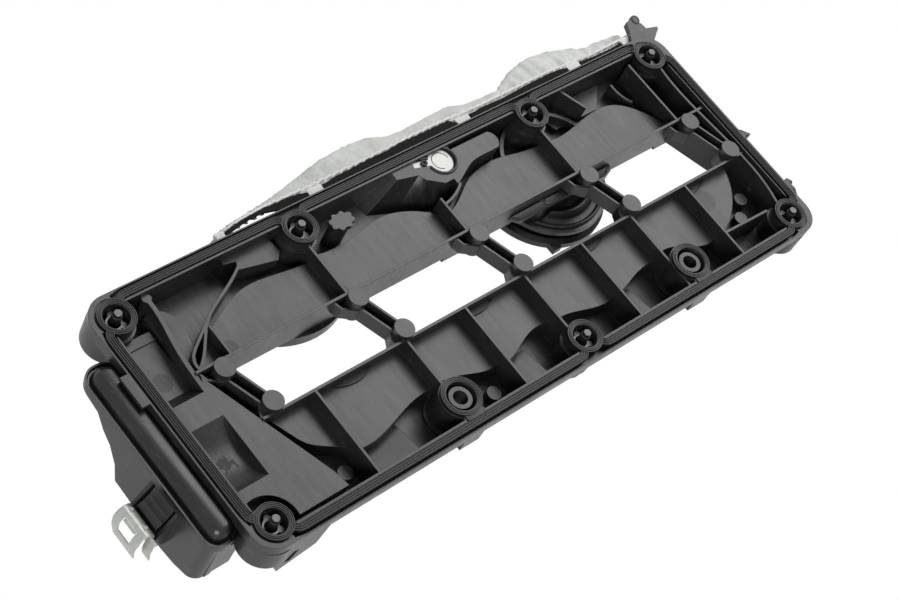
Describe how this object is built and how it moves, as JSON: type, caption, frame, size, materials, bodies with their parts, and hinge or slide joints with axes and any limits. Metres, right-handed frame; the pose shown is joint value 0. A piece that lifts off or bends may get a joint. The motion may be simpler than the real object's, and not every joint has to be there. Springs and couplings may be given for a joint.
{
  "type": "engine valve cover",
  "caption": "Long black moulded engine cover seen from its sealed underside, with ribbed bays, through openings, captive bolts and a reed valve.",
  "frame": {"origin": "centre of the gasket's sealing face", "axes": "+X along the cover away from the end housing, +Y towards the reed valve and the insulation mat, +Z out of the open underside"},
  "size_m": [0.468, 0.1817, 0.0565],
  "materials": {
    "black_nylon": "moulded glass-filled nylon, satin",
    "lid_nylon": "moulded glass-filled nylon, satin",
    "seal_rubber": "moulded elastomer, satin",
    "bolt_steel": "black zinc-plated steel",
    "sleeve_steel": "dark plated spacer steel",
    "grommet_rubber": "matte black rubber",
    "reed_steel": "bright stainless spring steel",
    "screw_steel": "dark plated screw",
    "clip_steel": "bright zinc-plated spring steel",
    "insulation_fleece": "pale translucent insulation fleece",
    "strip_plastic": "flexible black edge strip",
    "cap_nylon": "moulded nylon, satin",
    "diaphragm_rubber": "thin rubber diaphragm",
    "spring_steel": "spring wire"
  },
  "bodies": {
    "root": {"bolt_grommet_1": "grommet_rubber", "bolt_grommet_2": "grommet_rubber", "bolt_grommet_3": "grommet_rubber", "bolt_grommet_4": "grommet_rubber", "bolt_grommet_5": "grommet_rubber", "bolt_grommet_6": "grommet_rubber", "bolt_grommet_7": "grommet_rubber", "bolt_sleeve_1": "sleeve_steel", "bolt_sleeve_2": "sleeve_steel", "bolt_sleeve_3": "sleeve_steel", "bolt_sleeve_4": "sleeve_steel", "bolt_sleeve_5": "sleeve_steel", "bolt_sleeve_6": "sleeve_steel", "bolt_sleeve_7": "sleeve_steel", "breather_cap": "cap_nylon", "breather_diaphragm": "diaphragm_rubber", "breather_spring": "spring_steel", "captive_bolt_1": "bolt_steel", "captive_bolt_2": "bolt_steel", "captive_bolt_3": "bolt_steel", "captive_bolt_4": "bolt_steel", "captive_bolt_5": "bolt_steel", "captive_bolt_6": "bolt_steel", "captive_bolt_7": "bolt_steel", "cover_moulding": "black_nylon", "end_housing_lid": "lid_nylon", "insulation_mat": "insulation_fleece", "mat_edge_strip_1": "strip_plastic", "mat_edge_strip_2": "strip_plastic", "mat_edge_strip_3": "strip_plastic", "mat_edge_strip_4": "strip_plastic", "perimeter_gasket": "seal_rubber", "retaining_clip": "clip_steel", "valve_reed_plate": "reed_steel", "valve_screw": "screw_steel"}
  },
  "joints": []
}
